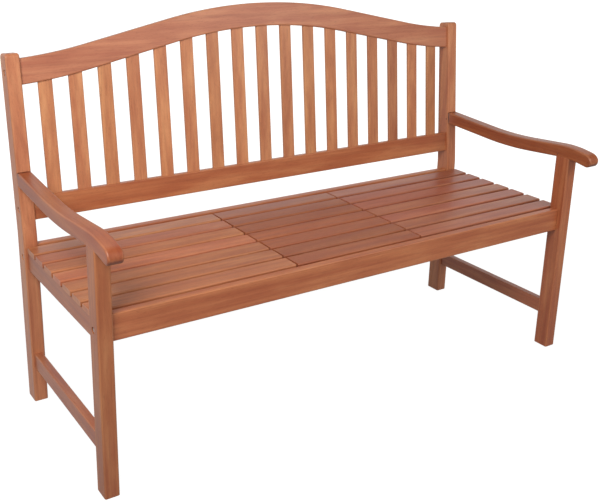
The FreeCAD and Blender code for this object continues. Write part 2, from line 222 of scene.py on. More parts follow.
# %% [markdown]
# ## A place in the log
#
# Real boards differ because each is sawn from another part of a tree. Every board therefore carries a vector
# attribute called log: its own coordinates, turned so that the grain runs along X, and moved to a random
# place in the trunk with a little slope of grain. A pattern drawn in log space shows long figure on the
# faces and rings on the ends, and it moves with the board. One pattern in Object coordinates would run on
# from board to board, as if the bench were carved from one block. The attribute tone says how bright the
# board is, hue how red and rich how deep its colour is.

# %% Place in the log
chance = np.random.default_rng(24)
grain_axes = {"x": (0, 1, 2), "y": (1, 2, 0), "z": (2, 0, 1)}
log_length = 9                  # metres
pith_near = 0.05                # least and most distance of a board from the middle of the trunk
pith_far = 0.14
grain_slope = 0.012             # usual rise of the grain for each metre along the board, in metres
tone_spread = 0.05
hue_spread = 0.002
boards = []


def saw_from_log(piece, grain, tone, hue, rich, count):
    """Gives each of a piece's equal boards its place in the log: grain along X, a random spot and slope.

    A point goes to its distance along the board plus a random start, and across to its own distance from the
    board's middle, plus the slope times the distance along, plus the place of the middle in the trunk.
    """
    mesh = piece.data
    flat = np.empty(len(mesh.vertices) * 3, np.float32)
    mesh.vertices.foreach_get("co", flat)
    points = flat.reshape(count, -1, 3)
    points = points - points.mean(1, keepdims=True)
    along, across, through = np.moveaxis(points[..., grain_axes[grain]], -1, 0)
    angle = chance.uniform(0, 2 * np.pi, (count, 1))
    pith = chance.uniform(pith_near, pith_far, (count, 1))
    slope = chance.normal(0, grain_slope, (count, 1))
    put(mesh, "log", np.stack([along + chance.uniform(0, log_length, (count, 1)),
                               across + slope * along + pith * np.cos(angle),
                               through + pith * np.sin(angle)], -1), "FLOAT_VECTOR")
    put(mesh, "tone", np.broadcast_to(tone * chance.normal(1, tone_spread, (count, 1)), along.shape))
    put(mesh, "hue", np.broadcast_to(chance.normal(hue, hue_spread, (count, 1)), along.shape))
    put(mesh, "rich", np.full(along.shape, rich))


def smooth_faces(piece):
    """Lets the large flat faces set the shading, so that only the rounded edges look round."""
    finish = piece.modifiers.new("flat_faces", "WEIGHTED_NORMAL")
    finish.weight = 100         # the most that large faces can count
    finish.keep_sharp = True


def finish_board(piece, grain, material, tone=1.0, hue=0.5, rich=1.0, count=1):
    """Last steps that all boards share. A piece may hold more than one board.

    Tone 1, hue 0.5 and rich 1 keep the finish's own colour.
    """
    saw_from_log(piece, grain, tone, hue, rich, count)
    smooth_faces(piece)
    piece.data.materials.append(material)
    boards.append(piece)


print("grain may run along", sorted(grain_axes))

# %% [markdown]
# ## Colours and nodes
#
# A material is a tree of nodes. One small function adds a node, sets it and links it, so that a tree reads
# from top to bottom. Colours are written as sRGB hex, as a paint program shows them, and are turned to the
# linear light that Blender works in. Two more helpers are what a wooden surface is made of here: streaks are
# noise drawn out along the grain, and a stain lays a tint over a colour where a pattern is strong.

# %% Colours and nodes
def srgb(code):
    """Colour written as sRGB hex, turned to linear light with full opacity."""
    value = np.array([int(code[i:i + 2], 16) for i in (1, 3, 5)]) / 255
    linear = np.where(value <= 0.04045, value / 12.92, ((value + 0.055) / 1.055) ** 2.4)
    return (*linear.tolist(), 1.0)


def node(tree, kind, inputs=None, **settings):
    """Adds a node with its settings, and gives its sockets values or links."""
    made = tree.nodes.new(kind)
    for setting, value in settings.items():
        setattr(made, setting, value)
    for socket, value in (inputs or {}).items():
        if isinstance(value, bpy.types.NodeSocket):
            tree.links.new(value, made.inputs[socket])
        else:
            made.inputs[socket].default_value = value
    return made


def streaks(tree, place, long, wide, detail):
    """Noise drawn out along the grain, in streaks of a given length and width in metres."""
    scaled = node(tree, "ShaderNodeMapping", {"Vector": place, "Scale": (1 / long, 1 / wide, 1 / wide)})
    noise = node(tree, "ShaderNodeTexNoise", {"Vector": scaled.outputs["Vector"], "Scale": 1.0,
                                              "Detail": detail, "Roughness": 0.55})
    return noise.outputs["Fac"]


def stained(tree, base, tint, pattern, start, full, strength):
    """Base colour with a tint over it: none where the pattern is at start, its strength where it is full."""
    share = node(tree, "ShaderNodeMapRange", {"Value": pattern, "From Min": start, "From Max": full,
                                              "To Max": strength}).outputs["Result"]
    return node(tree, "ShaderNodeMix", {"Factor": share, "A": base, "B": tint},
                data_type="RGBA").outputs["Result"]


print("mid grey in linear light", round(srgb("#808080")[0], 4))

# %% [markdown]
# ## Oiled hardwood
#
# The wood is a reddish plantation hardwood, planed and oiled. The eye sees long, slightly wavy figure, soft
# patches that go from tan to brick red, fine fibre streaks, short dark pores and a satin sheen. Rounded
# edges are rubbed a little paler, and the same mark paints a highlight along them. Sawn ends drink more oil
# and go darker, and the same darkening paints shade under the arm noses. An image could give one such
# board, but every board here needs its own, so the pattern is drawn with noise in log space. The pores of
# the real wood are about 0.2 mm wide, too fine for this picture, so they are drawn about five times as
# coarse.

# %% Oiled hardwood
figure_size = (450 * mm, 16 * mm)   # length and width of each kind of streak
patch_size = (190 * mm, 32 * mm)
fibre_size = (110 * mm, 3.5 * mm)
pore_size = (16 * mm, 1 * mm)
ring_spacing = 11 * mm
wave_period = 0.314                 # of Blender's wave texture at a scale of 1
pore_depth = 0.4 * mm
wood_ior = 1.5
board_values = ("tone", "hue", "rich", "wear_and_highlight", "end", "painted_gap_shade")


def oiled_hardwood(name, tan, brick, dark, pale, turn=None):
    """Oiled hardwood. Boards give their own log attributes; turn reads Object coordinates for CAD nodes."""
    material = bpy.data.materials.new(name)
    material.use_nodes = True
    tree = material.node_tree
    surface = tree.nodes["Principled BSDF"]
    if turn is None:
        log = node(tree, "ShaderNodeAttribute", attribute_name="log").outputs["Vector"]
    else:
        coordinates = node(tree, "ShaderNodeTexCoord").outputs["Object"]
        log = node(tree, "ShaderNodeMapping", {"Vector": coordinates, "Rotation": turn}).outputs["Vector"]

    figure = streaks(tree, log, *figure_size, 3.0)
    patch = streaks(tree, log, *patch_size, 2.0)
    fibre = streaks(tree, log, *fibre_size, 3.0)
    pore = streaks(tree, log, *pore_size, 1.0)
    along_trunk = node(tree, "ShaderNodeMapping", {"Vector": log, "Scale": (0.05, 1, 1)}).outputs["Vector"]
    rings = node(tree, "ShaderNodeTexWave", {
        "Vector": along_trunk, "Scale": wave_period / ring_spacing, "Distortion": 5.0, "Detail": 2.0,
        "Detail Scale": 0.6}, wave_type="RINGS", rings_direction="X").outputs["Fac"]

    # Each stain: its tint and pattern, where it starts, where it is full, and how strong it is there
    stains = ((brick, figure, 0.35, 0.68, 0.65),
              (brick, patch, 0.48, 0.70, 0.50),
              (pale, patch, 0.46, 0.28, 0.42),
              (dark, rings, 0.55, 1.0, 0.09),
              (dark, fibre, 0.56, 0.76, 0.24),
              (pale, fibre, 0.44, 0.26, 0.16),
              (dark, pore, 0.60, 0.72, 0.30))
    colour = srgb(tan)
    for tint, pattern, start, full, strength in stains:
        colour = stained(tree, colour, srgb(tint), pattern, start, full, strength)
    if turn is None:
        tone, hue, rich, wear_and_highlight, end, painted_gap_shade = [
            node(tree, "ShaderNodeAttribute", attribute_name=value).outputs["Fac"] for value in board_values]
        colour = node(tree, "ShaderNodeHueSaturation", {"Color": colour, "Hue": hue, "Saturation": rich,
                                                        "Value": tone}).outputs["Color"]
        # Rounded edges rubbed paler, with a painted highlight along them
        colour = stained(tree, colour, srgb(pale), wear_and_highlight, 0.2, 1.0, 0.20)
        # Darker sawn ends; under the arm noses this also paints shade
        colour = stained(tree, colour, srgb(dark), end, 0.0, 1.0, 0.60)
        # Painted shade on the long sides of the slats, where the gaps between them lie in shade
        colour = stained(tree, colour, srgb(dark), painted_gap_shade, 0.0, 1.0, 1.0)
    tree.links.new(colour, surface.inputs["Base Color"])

    sheen = node(tree, "ShaderNodeMapRange", {"Value": figure, "From Min": 0.3, "From Max": 0.7,
                                              "To Min": 0.44, "To Max": 0.36})
    tree.links.new(sheen.outputs["Result"], surface.inputs["Roughness"])
    height = node(tree, "ShaderNodeMath", {0: fibre, 1: pore}, operation="SUBTRACT").outputs[0]
    bump = node(tree, "ShaderNodeBump", {"Height": height, "Strength": 0.25, "Distance": pore_depth})
    tree.links.new(bump.outputs["Normal"], surface.inputs["Normal"])
    surface.inputs["IOR"].default_value = wood_ior
    return material


frame_oil = oiled_hardwood("oiled_hardwood", "#BF7950", "#A05637", "#663020", "#D29364")
table_oil = oiled_hardwood("oiled_hardwood_red_batch", "#AA633C", "#91462D", "#5B2719", "#B8754E")
hidden_oil = oiled_hardwood("oiled_hardwood_under_seat", "#B97A52", "#9C563A", "#65301F", "#C68C62",
                            (0, 0, np.radians(-90)))
print("wood finishes", frame_oil.name, table_oil.name, hidden_oil.name)

# %% [markdown]
# ## Holes for the screw heads
#
# Long screws go through legs and posts into the ends of the rails, and their heads lie sunk in flat-bottomed
# holes. The faces round a hole could be modelled by hand, but a Boolean modifier does it for any board: it
# takes away round plugs. Its result is then made the board's own mesh, so that no plug has to be kept.

# %% Screw holes
sink_radius = 8 * mm
sink_depth = 6 * mm
drill_points = 32               # points round a plug
sharp_angle = np.radians(50)    # edges that turn more stay sharp


def bored(piece, sign, places):
    """Bores holes into the outer face of a board: plugs along X that are circles carried through the face."""
    angle = np.linspace(0, 2 * np.pi, drill_points, endpoint=False)
    ring = np.stack([np.zeros(drill_points), np.cos(angle), np.sin(angle)], 1) * sink_radius
    face = np.abs(np.array(piece.bound_box)[:, 0]).max()
    ends = np.array([face - sink_depth, face + sink_depth])[::sign]
    shells = [np.stack([(sign * x, y, z) + ring for x in ends]) for y, z in places]
    faces = [corners for plug in range(len(shells))
             for corners in tube_faces(2, drill_points, plug * 2 * drill_points)]
    mesh = bpy.data.meshes.new("drill")
    mesh.from_pydata(np.concatenate([shell.reshape(-1, 3) for shell in shells]).tolist(), [], faces)
    drill = bpy.data.objects.new("drill", mesh)
    bpy.context.scene.collection.objects.link(drill)
    cut = piece.modifiers.new("holes", "BOOLEAN")
    cut.object = drill
    cut.solver = "EXACT"
    view = bpy.context.evaluated_depsgraph_get()
    piece.data = bpy.data.meshes.new_from_object(piece.evaluated_get(view))
    piece.modifiers.clear()
    bpy.data.objects.remove(drill)
    piece.data.set_sharp_from_angle(angle=sharp_angle)
    return piece


def rail_middle(rail):
    """Y and Z of the middle line of a straight rail along X."""
    low, high = box(rail)
    return (low[1] + high[1]) / 2, (low[2] + high[2]) / 2


print("front screws at", [round(float(value), 4) for value in rail_middle("front_rail")])

# %% [markdown]
# ## Straight boards
#
# Rails, stretchers and front legs are straight. A cube with a Bevel modifier would do for these, but the
# same way for all boards keeps their edges and their wear alike. Each board fills the box of its CAD node,
# less the tenons that are hidden in the mortises. Corner radii follow the CAD chamfers: an arc that takes
# off as much wood as a chamfer has about one and a half times its size.

# %% Legs, rails and stretchers
round_for_chamfer = 1.5
leg_round = round_for_chamfer * 3 * mm
rail_round = round_for_chamfer * 2 * mm
butt_ease = 0.5 * mm            # sawn ends that meet another board
free_ease = 1.5 * mm            # ends that show
# The left leg is toned darker than the right: partly the wood, partly painted shade
leg_tone_and_shade = {"left": 0.87, "right": 0.95}


def shortened(node, axis, start, end):
    """Box of a CAD node without the tenons at its two ends."""
    low, high = box(node)
    low[axis] += start
    high[axis] -= end
    return low, high


for side, sign in sides.items():
    leg = f"front_leg_{side}"
    grid = straight(*shortened(leg, 2, 0, arm_tenon), 2, leg_round, free_ease)
    piece = bored(board(f"{leg}_board", [grid], [leg]), sign, [rail_middle("front_rail")])
    finish_board(piece, "z", frame_oil, tone=leg_tone_and_shade[side], hue=0.499, rich=1.03)
    for rail in (f"side_rail_{side}", f"stretcher_{side}"):
        grid = straight(*shortened(rail, 1, rail_tenon, rail_tenon), 1, rail_round, butt_ease)
        finish_board(board(f"{rail}_board", [grid], [rail]), "y", frame_oil, tone=0.92, hue=0.496)
for rail in ("front_rail", "rear_rail"):
    grid = straight(*box(rail), 0, rail_round, butt_ease)
    finish_board(board(f"{rail}_board", [grid], [rail]), "x", frame_oil, tone=0.96, hue=0.499, rich=1.03)
print("boards so far", len(boards))

# %% [markdown]
# ## Seat slats and table slats
#
# The two seams cut every row of slats into a left, a table and a right slat. An Array modifier could repeat
# one slat, but then all would share one grain. The table slats come from a redder batch, so they take the
# second finish, and they ride on the table. The gaps of the right seat look the darkest, as they lie in
# shade. So each slat gets one more value at each point, which paints that shade on its long sides: some on
# the right, and none on the left and on the table.

# %% Seat and table slats
seat_slat_round = round_for_chamfer * 2.5 * mm
seam_ease = 0.8 * mm            # crisp ends at the two seams
gap_shade_from = 0.94                # share of a slat's half width past which the painted shade of the gaps sets in


def paint_gap_shade(piece, grid, share):
    """Paints shade on the long sides of a slat: its share on the sides, down to 0 on the rounded edges."""
    y = grid[0][..., 1]
    beside = np.abs(y - y.mean()) / (np.ptp(y) / 2)
    put(piece.data, "painted_gap_shade", share * np.clip((beside - gap_shade_from) / (1 - gap_shade_from), 0, 1))


# Each batch: its name, slot, finish, tone, hue, and the share of painted shade on the long sides
batches = (("seat_slat_left", "frame_wood", frame_oil, 1.02, 0.5, 0.0),
           ("seat_slat_right", "frame_wood", frame_oil, 0.99, 0.492, 0.35),
           ("table_slat", "table_wood", table_oil, 1.04, 0.5, 0.0))
rows = sum(name.startswith("table_slat_") for name in frame["nodes"])
for row in range(1, rows + 1):
    for batch, slot, oil, tone, hue, share in batches:
        slat = f"{batch}_{row}"
        grid = straight(*box(slat), 0, seat_slat_round, seam_ease)
        piece = board(f"{slat}_board", [grid], [slat], np.zeros(grid[1].shape))
        paint_gap_shade(piece, grid, share)
        finish_board(piece, "x", oil, tone=tone, hue=hue)
print("rows of seat slats", rows)

# %% [markdown]
# ## The leaning back
#
# The back is drawn upright and then leaned about the bend of the posts. A leaned node's box is too large to
# build from, so its points are first turned upright again, and its box is taken there. A pair of back slats
# is one node with two slats, told apart by the sign of X.

# %% Lower rail and back slats
back_slat_round = round_for_chamfer * 2 * mm


def leaned(points, angle):
    """Points turned about the bend of the posts: y and z go round the corner (post_front, bend_height)."""
    y, z = points[..., 1] - post_front, points[..., 2] - bend_height
    return np.stack([points[..., 0],
                     post_front + y * np.cos(angle) + z * np.sin(angle),
                     bend_height + z * np.cos(angle) - y * np.sin(angle)], -1)


def upright_points(node):
    """Points of a leaned CAD node, turned upright."""
    mesh = frame["nodes"][node].data
    flat = np.empty(len(mesh.vertices) * 3, np.float32)
    mesh.vertices.foreach_get("co", flat)
    return leaned(flat.reshape(-1, 3).astype(float), -rake)


def leaned_straight(points, axis, corner, ease):
    """Straight board that fills the box of upright points, leaned with the back."""
    grid, wear_and_highlight = straight(points.min(0), points.max(0), axis, corner, ease)
    return leaned(grid, rake), wear_and_highlight


lower_points = upright_points("lower_back_rail")
grid = leaned_straight(lower_points, 0, rail_round, butt_ease)
finish_board(board("lower_back_rail_board", [grid], ["lower_back_rail"]), "x", frame_oil,
             tone=1.07, hue=0.494, rich=1.04)
back_nodes = sorted(name for name in frame["nodes"] if name.startswith("back_slat"))
for slat in back_nodes:
    points = upright_points(slat)
    halves = [points[points[:, 0] < 0], points[points[:, 0] > 0]] if "pair" in slat else [points]
    grids = [leaned_straight(half, 2, back_slat_round, butt_ease) for half in halves]
    # High tone on the back slats: partly lighter wood, partly painted light, as more light falls on the back
    finish_board(board(f"{slat}_board", grids, [slat]), "z", frame_oil,
                 tone=1.19, hue=0.505, rich=0.98, count=len(grids))
print("back slat nodes", len(back_nodes))

# %% [markdown]
# ## Bent lines
#
# Crest rail, arms and posts follow lines of straights joined by arcs. On an arc, the sine of the slope angle
# changes evenly with the distance run, so the slope at every station is an interpolation between the ends of
# the arcs, and the height is the running sum of the slope. Blender's curves could draw such lines too, but
# only with handles set by eye. This way gives exact tangents with no list of points.

# %% Bent lines
def bent_line(corners, radii, stations):
    """Height and slope at stations along a line through corners, whose inner ones have arcs of these radii.

    Slope is sine over cosine of the slope angle, and height is the sum of step times mean slope.
    """
    corners = np.array(corners)
    run = np.diff(corners, axis=0)
    angle = np.arctan2(run[:, 1], run[:, 0])
    tangent = np.array(radii) * np.tan(np.abs(np.diff(angle)) / 2)
    breaks = np.stack([corners[1:-1, 0] - tangent * np.cos(angle[:-1]),
                       corners[1:-1, 0] + tangent * np.cos(angle[1:])], 1).ravel()
    sine = np.interp(stations, breaks, np.sin(angle.repeat(2)[1:-1]))
    slope = sine / np.sqrt(1 - sine ** 2)
    climb = np.diff(stations) * (slope[1:] + slope[:-1]) / 2
    return corners[0, 1] + np.concatenate([[0], np.cumsum(climb)]), slope


trial = bent_line([(0, 0), (1, 1), (2, 1)], [0.5], np.linspace(0, 2, 9))[0]
print("rise over a trial corner", trial.round(3).tolist())

# %% [markdown]
# ## Crest rail
#
# The crest rail is sawn from a wide board to a hump between two hollow shoulders. Its ends are upright where
# they meet the posts, so the sections stand upright all the way and grow taller where the rail slopes. A
# curve with a bevel would turn its sections with the slope and leave a wedge of air at the posts.

# %% Crest rail
crest_half_height = 33 * mm
crest_round = round_for_chamfer * 3 * mm
crest_shoulder = 95 * mm        # from the post to where flank and end tangents meet
crest_flank = np.radians(12.0)
crest_end = np.radians(4.0)
crest_hump_radius = 1375 * mm
crest_stations = 160
first_step = 6 * mm             # from a rounded end to the next full station

crest = upright_points("crest_rail")
crest_low, crest_high = crest.min(0), crest.max(0)
inner_x = crest_high[0]
end_z = crest[np.isclose(crest[:, 0], inner_x, atol=0.1 * mm)][:, 2]
end_z = (end_z.min() + end_z.max()) / 2
shoulder_x = inner_x - crest_shoulder
shoulder_z = end_z + crest_shoulder * np.tan(crest_end)
apex_z = shoulder_z + shoulder_x * np.tan(crest_flank)
shoulder_radius = crest_shoulder / np.tan((crest_flank - crest_end) / 2) - 2 * crest_half_height
stations = np.concatenate([[-inner_x, butt_ease - inner_x],
                           np.linspace(first_step - inner_x, inner_x - first_step, crest_stations),
                           [inner_x - butt_ease, inner_x]])
height, slope = bent_line([(-inner_x, end_z), (-shoulder_x, shoulder_z), (0, apex_z),
                           (shoulder_x, shoulder_z), (inner_x, end_z)],
                          [shoulder_radius, crest_hump_radius, shoulder_radius], stations)
middle_y = (crest_low[1] + crest_high[1]) / 2
centre = np.stack([stations, np.full_like(stations, middle_y), height], 1)
inset = np.zeros_like(stations)
inset[[0, -1]] = butt_ease
upright_grid, wear_and_highlight = carried(centre, (0, 1, 0), (0, 0, 1), (crest_high[1] - crest_low[1]) / 2 - inset,
                             crest_half_height * np.sqrt(1 + slope ** 2) - inset, crest_round - inset)
grid = leaned(upright_grid, rake)
# High tone: partly lighter wood, partly painted light on the back
finish_board(board("crest_rail_board", [(grid, wear_and_highlight)], ["crest_rail"]), "x", frame_oil,
             tone=1.12, hue=0.500, rich=0.95)
print("crest top", round(float(grid[..., 2].max()), 4), "CAD", round(box("crest_rail")[1][2], 4))

# %% [markdown]
# ## Back posts
#
# Each post is one board from the floor to the top, bent at the seat, where it starts to lean and to taper.
# Front and back faces are two bent lines. A section joins a point of the front face with the point of the
# back face that lies square across, and at the top the sections close in on a quarter circle. A straight
# board with a Simple Deform modifier would bend as well, but it would not taper from the bend on.

# %% Lines of the back posts
post_depth = 52 * mm
post_top_depth = 46 * mm
post_length = 469 * mm          # from the bend to the top, along the front face
post_bend_radius = 160 * mm
post_top_round = 10 * mm
post_top_ease = 5 * mm          # rounding of the top towards the sides
top_stations = 9
bend_span = np.linspace(0.9, 1.08, 25)      # stations of the bend, as shares of its height
fine_stations = 2000            # for reading the back face at any height

turn = np.linspace(0, np.pi / 2, top_stations)
top_run = post_length - post_top_round * (1 - np.sin(turn))
foot_run, foot_inset = [ends[:ease_steps] for ends in eased(bend_height, free_ease)]
front_z = np.concatenate([foot_run, bend_span * bend_height, bend_height + top_run * np.cos(rake)])
top_y, top_z = post_front + post_length * np.sin(rake), bend_height + post_length * np.cos(rake)
back_corners = [(0, post_front + post_depth), (bend_height, post_front + post_depth),
                (top_z - post_top_depth * np.sin(rake), top_y + post_top_depth * np.cos(rake))]
front_y, front_slope = bent_line([(0, post_front), (bend_height, post_front), (top_z, top_y)],
                                 [post_bend_radius], front_z)
lean_here = np.arctan(front_slope)
fine_z = np.linspace(0, top_z, fine_stations)
fine_back = bent_line(back_corners, [post_bend_radius], fine_z)[0]
depth_here = np.interp(front_z, fine_z, fine_back) - front_y
back_z = front_z - depth_here * np.sin(lean_here)
back_y = np.interp(back_z, fine_z, fine_back)
across = np.stack([np.zeros_like(front_z), back_y - front_y, back_z - front_z], 1)
depth = np.linalg.norm(across, axis=1)
across = across / depth[:, None]
print("post depth at the foot", round(float(depth[0]), 4), "at the top", round(float(depth[-1]), 4))

# %% Back posts
corner_share = 0.9              # most of its half depth that a post's corner takes
closing = np.zeros_like(front_z)
closing[-top_stations:] = post_top_round * (1 - np.cos(turn))
ease_in = np.zeros_like(front_z)
ease_in[:ease_steps] = foot_inset
ease_in[-top_stations:] = post_top_ease * (1 - np.cos(turn))
half_depth = depth / 2 - closing
half_depth[:ease_steps] -= foot_inset
corner = np.clip(leg_round - ease_in, free_ease, corner_share * half_depth)
lower_middle = (lower_points.min(0) + lower_points.max(0)) / 2
rail_axes = leaned(np.array([(0, middle_y, end_z), (0, *lower_middle[1:])]), rake)
screw_places = [rail_middle("rear_rail"), *rail_axes[:, 1:].tolist()]
for side, sign in sides.items():
    post = f"back_post_{side}"
    low, high = box(post)
    centre = np.stack([np.full_like(front_z, (low[0] + high[0]) / 2), (front_y + back_y) / 2,
                       (front_z + back_z) / 2], 1)
    grid = carried(centre, across, (-1, 0, 0), half_depth, (high[0] - low[0]) / 2 - ease_in, corner)
    piece = bored(board(f"{post}_board", [grid], [post]), sign, screw_places)
    # High tone: partly lighter wood, partly painted light on the back
    finish_board(piece, "z", frame_oil, tone=1.13, hue=0.502, rich=0.98)
    print(post, "top", round(float(grid[0][..., 2].max()), 4), "CAD", round(high[2], 4))

# %% [markdown]
# ## Armrests
#
# An arm is sawn from thick stock: it runs from the post through a dip, rises over the leg and droops to a
# blunt, rounded nose. Its sections stand square to a bent line and shrink on two ellipses at the nose, and
# the last one is slanted to lie flat on the leaning post. Sculpting could shape the nose as well, but two
# ellipses say how long the rounding is above and below. The edges of an arm are crisper than those of the
# other boards for the size of its chamfer.

# %% Line of the arms
arm_half = 18.5 * mm
arm_rear_rise = 177 * mm        # heights of the centre line above the seat
arm_dip = (242 * mm, 158.5 * mm)
arm_hump = (3 * mm, 178.2 * mm)
arm_nose = (-76 * mm, 164.3 * mm)
arm_radii = (320 * mm, 1150 * mm)
arm_stations = 70
nose_stations = 14
nose_reach = 26 * mm            # length of the rounding on top of the nose
nose_under = 16 * mm            # and below it

rear_z = seat_top + arm_rear_rise
rear_y = post_front + (rear_z - bend_height) * np.tan(rake)
arm_corners = [(leg_front + y, seat_top + z) for y, z in (arm_nose, arm_hump, arm_dip)] + [(rear_y, rear_z)]
nose_turn = np.radians(np.linspace(0, 90, nose_stations))
nose_run = nose_reach * (1 - np.cos(nose_turn))
nose_slope = (arm_hump[1] - arm_nose[1]) / (arm_hump[0] - arm_nose[0])
nose_y = arm_corners[0][0] + nose_run / np.sqrt(1 + nose_slope ** 2)
arm_y = np.concatenate([nose_y, np.linspace(nose_y[-1] + first_step, rear_y, arm_stations)])
arm_z, arm_slope = bent_line(arm_corners, arm_radii, np.concatenate([[arm_corners[0][0]], arm_y]))
arm_z, arm_slope = arm_z[1:], arm_slope[1:]
heading = np.stack([np.zeros_like(arm_y), np.ones_like(arm_y), arm_slope], 1)
heading = heading / np.sqrt(1 + arm_slope ** 2)[:, None]
upward = np.stack([np.zeros_like(arm_y), -heading[:, 2], heading[:, 1]], 1)
post_line = np.array([0, np.sin(rake), np.cos(rake)])
upward[-1] = post_line / (post_line @ upward[-1])
print("arm from", round(float(arm_y[0]), 4), "to", round(float(arm_y[-1]), 4))

# %% Armrests
arm_round = 5 * mm
nose_level = -2 * mm            # height of the tip over the centre line
nose_blunt = 1 * mm             # least half height, at the tip
nose_end_shade = 5 * mm               # below the tip, where the end grain and the painted shade under the nose are full
nose_corner_share = 0.95        # most of its half height that the nose's corner takes
# The arms are toned dark, the right one darker: partly the wood, partly painted shade
arm_tone_and_shade = {"left": 0.75, "right": 0.71}


def quarter_round(run, reach):
    """Share of the full height at a distance from the tip: a quarter of an ellipse, full at its reach."""
    return np.sqrt(1 - np.clip(1 - run / reach, 0, 1) ** 2)


from_tip = np.full_like(arm_y, nose_reach)
from_tip[:nose_stations] = nose_run
top = nose_level + (arm_half - nose_level) * quarter_round(from_tip, nose_reach)
bottom = nose_level - (arm_half + nose_level) * quarter_round(from_tip, nose_under)
half_height = np.maximum((top - bottom) / 2, nose_blunt)
narrowing = arm_round * (1 - quarter_round(from_tip, arm_round))
end_share = np.clip(1 - from_tip / nose_under, 0, 1)
for side, tone in arm_tone_and_shade.items():
    arm = f"armrest_{side}"
    low, high = box(arm)
    half_width = (high[0] - low[0]) / 2
    line = np.stack([np.full_like(arm_y, (low[0] + high[0]) / 2), arm_y, arm_z], 1)
    centre = line + ((top + bottom) / 2)[:, None] * upward
    grid = carried(centre, upward, (1, 0, 0), half_height, half_width - narrowing,
                   np.minimum(arm_round, nose_corner_share * half_height))
    # Dark end grain on the lower half of the nose only: real end grain, plus painted shade under the tip, as
    # the upper half keeps the top's colour
    below = nose_level - ((grid[0] - line[:, None]) * upward[:, None]).sum(-1)
    sawn = end_share[:, None] * np.clip(below / nose_end_shade, 0, 1)
    piece = board(f"{arm}_board", [grid], [arm], sawn=sawn)
    finish_board(piece, "y", frame_oil, tone=tone, hue=0.494, rich=1.06)
    print(arm, "nose", round(float(grid[0][..., 1].min()), 4), "CAD", round(low[1], 4))

# %% [markdown]
# ## Pegs
#
# Each arm is pinned where it sits on its leg and where its tenon enters the post. The pins' ends show as
# small dark dots on the inner faces. A flattened sphere would do, but it would hide half of itself in the
# wood, so each peg end is a low dome of rings that starts at the face.

# %% Pegs
peg_radius = 2.5 * mm
peg_crown = 0.8 * mm
peg_rings = 6
peg_spokes = 16
peg_tip = 5                     # degrees from the crown to the last ring, which a flat face closes
peg_behind_leg_front = 42 * mm
peg_above_leg = 5 * mm
peg_in_post = 8 * mm            # behind the front face of the post
peg_under_arm_line = 5 * mm


def dome(place, outward):
    """Low dome on a face across X: rings of radius r sin(t) that stand out by the crown times cos(t)."""
    turn = np.radians(np.linspace(90, peg_tip, peg_rings))[:, None]
    angle = np.linspace(0, 2 * np.pi, peg_spokes, endpoint=False)
    rim = peg_radius * np.sin(turn)
    points = np.stack([outward * peg_crown * np.cos(turn) + 0 * angle, rim * np.cos(angle),
                       outward * rim * np.sin(angle)], -1)
    return points + place, np.zeros(points.shape[:2])


leg_top = box("front_leg_left")[1][2] - arm_tenon
for side, sign in sides.items():
    inner = sign * inner_x
    grids = [dome((inner, leg_front + peg_behind_leg_front, leg_top + peg_above_leg), -sign),
             dome((inner, rear_y + peg_in_post, rear_z - peg_under_arm_line), -sign)]
    pegs = wooden(f"arm_pegs_{side}", grids, body_of[f"armrest_{side}"],
                  sawn=np.ones((len(grids), peg_rings, peg_spokes)))
    finish_board(pegs, "x", frame_oil, tone=0.8, hue=0.496, count=len(grids))
print("wooden pieces", len(boards))

# %% [markdown]
# ## Camera
#
# The camera stands where the picture's perspective puts it: worked out from the bench's own straight edges,
# with the lens that its perspective needs. The lens doesn't point at the middle of the picture, so it is
# shifted a little. Turning the camera instead would change the perspective.

# %% Camera
camera_place = (-1.3717, -1.9060, 1.3025)
camera_turn = (72.186, -1.008, -32.400)     # degrees about X, Y and Z
camera_sensor = 36.0                        # millimetres wide
camera_lens = 53.611                        # millimetres
camera_shift = (0.0454, -0.0983)            # share of the picture's width

camera = bpy.data.objects.new("camera", bpy.data.cameras.new("camera"))
bpy.context.scene.collection.objects.link(camera)
camera.location = camera_place
camera.rotation_euler = np.radians(camera_turn)
camera.data.sensor_fit = "HORIZONTAL"
camera.data.sensor_width = camera_sensor
camera.data.lens = camera_lens
camera.data.shift_x, camera.data.shift_y = camera_shift
bpy.context.scene.camera = camera
print("camera", camera_place, "lens", camera_lens)

# %% [markdown]
# ## Zinc on the screws and pins
#
# Frame screws and pivot pins are zinc-plated steel: a grey metal with a soft, slightly cloudy shine. One
# grey with one roughness would look like a mirror gone dull, so noise clouds both. The other pieces that
# keep their CAD mesh are wood, and take the finish that reads Object coordinates.

# %% Zinc finish
cloud_size = 4 * mm
metal_nodes = ("frame_screws", "link_pins_lower", "link_pins_upper")


def zinc_plate(name):
    """Zinc-plated steel: metallic grey whose colour and roughness cloud over a few millimetres."""
    material = bpy.data.materials.new(name)
    material.use_nodes = True
    tree = material.node_tree
    surface = tree.nodes["Principled BSDF"]
    place = node(tree, "ShaderNodeTexCoord").outputs["Object"]
    cloud = node(tree, "ShaderNodeTexNoise", {"Vector": place, "Scale": 1 / cloud_size,
                                              "Detail": 3.0}).outputs["Fac"]
    tree.links.new(stained(tree, srgb("#8E9296"), srgb("#B4B6B4"), cloud, 0.3, 0.7, 1.0),
                   surface.inputs["Base Color"])
    rough = node(tree, "ShaderNodeMapRange", {"Value": cloud, "From Min": 0.3, "From Max": 0.7,
                                              "To Min": 0.30, "To Max": 0.48})
    tree.links.new(rough.outputs["Result"], surface.inputs["Roughness"])
    surface.inputs["Metallic"].default_value = 1.0
    return material


zinc = zinc_plate("zinc_plated_steel")
for name, shown in frame["nodes"].items():
    if shown.hide_render:
        continue
    metal = name in metal_nodes
    shown.data.materials.clear()
    shown.data.materials.append(zinc if metal else hidden_oil)
    print("kept", name)

